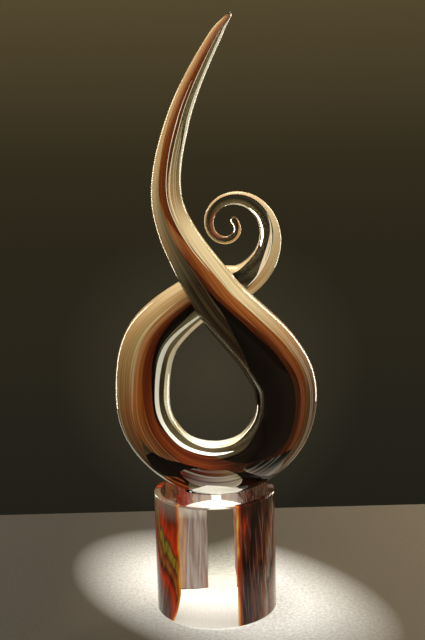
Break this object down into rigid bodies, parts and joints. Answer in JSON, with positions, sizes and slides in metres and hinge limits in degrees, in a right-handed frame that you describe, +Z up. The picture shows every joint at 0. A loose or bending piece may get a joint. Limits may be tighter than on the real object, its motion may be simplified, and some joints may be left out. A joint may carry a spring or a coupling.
{
  "type": "glass sculpture",
  "caption": "Layered glass rod bent into a loop, with a tall pointed horn and a small curl, glued on a clear glass cylinder with coloured side panels.",
  "frame": {"origin": "centre of the base's flat underside", "axes": "+Z up, -Y the front, with the crossing's front run of the rod and the horn on that side; +X to the right"},
  "size_m": [0.1561, 0.095, 0.4571],
  "materials": {
    "crystal_glass": "clear, fire polished",
    "streaked_glass_left": "streaked orange, red and green, under a polished skin",
    "streaked_glass_right": "streaked red, maroon and grey, under a polished skin",
    "clear_glue": "clear cured film",
    "white_glass": "thin milky veil",
    "dark_glass": "near black, fire polished",
    "garnet_glass": "deep red brown, fire polished",
    "amber_glass": "orange brown, streaked, fire polished",
    "opaline_glass": "cream and tan, finely streaked, fire polished"
  },
  "bodies": {
    "root": {"base_block": "crystal_glass", "base_left_panel": "streaked_glass_left", "base_right_panel": "streaked_glass_right", "glue_film": "clear_glue", "crystal_layer": "crystal_glass", "white_veil": "white_glass", "dark_layer": "dark_glass", "garnet_layer": "garnet_glass", "amber_layer": "amber_glass", "opaline_layer": "opaline_glass"}
  },
  "joints": []
}
